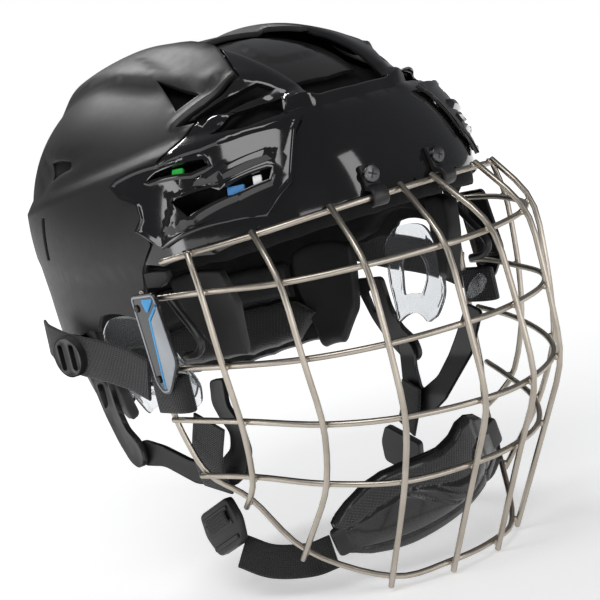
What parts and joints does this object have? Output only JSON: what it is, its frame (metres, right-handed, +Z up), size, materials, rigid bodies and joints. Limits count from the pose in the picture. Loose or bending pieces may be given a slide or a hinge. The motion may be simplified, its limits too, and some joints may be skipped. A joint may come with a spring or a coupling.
{
  "type": "ice hockey helmet with wire cage",
  "caption": "Ice hockey helmet: two-part vented shell, lined inside, with a hinged wire face cage, side straps, clear ear guards and a slung chin cup.",
  "frame": {"origin": "where the wearer's head holds the helmet: on the mid-plane inside the helmet, at the height of the middle of the cage's top wire", "axes": "+Z up as worn, -Y the way the face looks, +X the wearer's left"},
  "size_m": [0.2236, 0.3113, 0.2823],
  "materials": {
    "matte_shell": "matte",
    "gloss_shell": "gloss",
    "crown_panel": "gloss",
    "foam": "matte",
    "padding": "matte",
    "clear": "gloss",
    "grey_plastic": "satin",
    "black_plastic": "satin",
    "wire": "satin",
    "screw_steel": "polished",
    "webbing": "matte",
    "label": "gloss"
  },
  "bodies": {
    "helmet": {"front_shell": "gloss_shell", "crown_insert": "crown_panel", "side_bezel_right": "gloss_shell", "side_bezel_left": "gloss_shell", "side_bumper_right": "grey_plastic", "side_bumper_left": "grey_plastic", "front_liner": "foam", "crown_pad": "padding", "temple_pad_right": "padding", "temple_pad_left": "padding", "ear_guard_right": "clear", "ear_guard_left": "clear", "ear_loop_right": "grey_plastic", "ear_loop_left": "grey_plastic", "j_clip_right": "black_plastic", "j_clip_left": "black_plastic", "j_clip_screw_right": "screw_steel", "j_clip_screw_left": "screw_steel", "side_strap_right": "webbing", "side_strap_left": "webbing", "strap_slider_right": "black_plastic", "strap_slider_left": "black_plastic"},
    "rear": {"rear_shell": "matte_shell", "rear_liner": "foam", "nape_carrier": "grey_plastic", "nape_pad": "padding", "nape_cushion": "padding", "sling_bracket_right": "grey_plastic", "sling_bracket_left": "grey_plastic"},
    "cage": {"cage_top_wire": "wire", "cage_bar_1": "wire", "cage_bar_2": "wire", "cage_bar_3": "wire", "cage_bar_4": "wire", "cage_frame_wire": "wire", "cage_upright_right_1": "wire", "cage_upright_right_2": "wire", "cage_upright_right_3": "wire", "cage_upright_right_4": "wire", "cage_upright_left_1": "wire", "cage_upright_left_2": "wire", "cage_upright_left_3": "wire", "cage_upright_left_4": "wire", "side_plate_right": "label", "side_plate_left": "label", "strap_loop_right": "webbing", "strap_loop_left": "webbing", "strap_snap_right": "clear", "strap_snap_left": "clear"},
    "chin": {"sling_right": "black_plastic", "sling_left": "black_plastic", "chin_strap_upper_right": "webbing", "chin_strap_upper_left": "webbing", "chin_buckle_right": "black_plastic", "chin_buckle_left": "black_plastic", "chin_strap_lower_right": "webbing", "chin_strap_lower_left": "webbing", "chin_cup": "black_plastic", "chin_cup_pad": "padding"}
  },
  "joints": [
    {"name": "cage_flip", "type": "hinge", "parent": "helmet", "child": "cage", "pos_m": [0, -0.1359, -0.0027], "axis": [-1, 0, 0], "range_deg": [0, 75]},
    {"name": "shell_length", "type": "slide", "parent": "helmet", "child": "rear", "axis": [0, 1, 0], "range_m": [0, 0.01]},
    {"name": "chin_swing", "type": "hinge", "parent": "rear", "child": "chin", "pos_m": [0, 0.009, -0.11], "axis": [1, 0, 0], "range_deg": [-3.5, 6]}
  ]
}
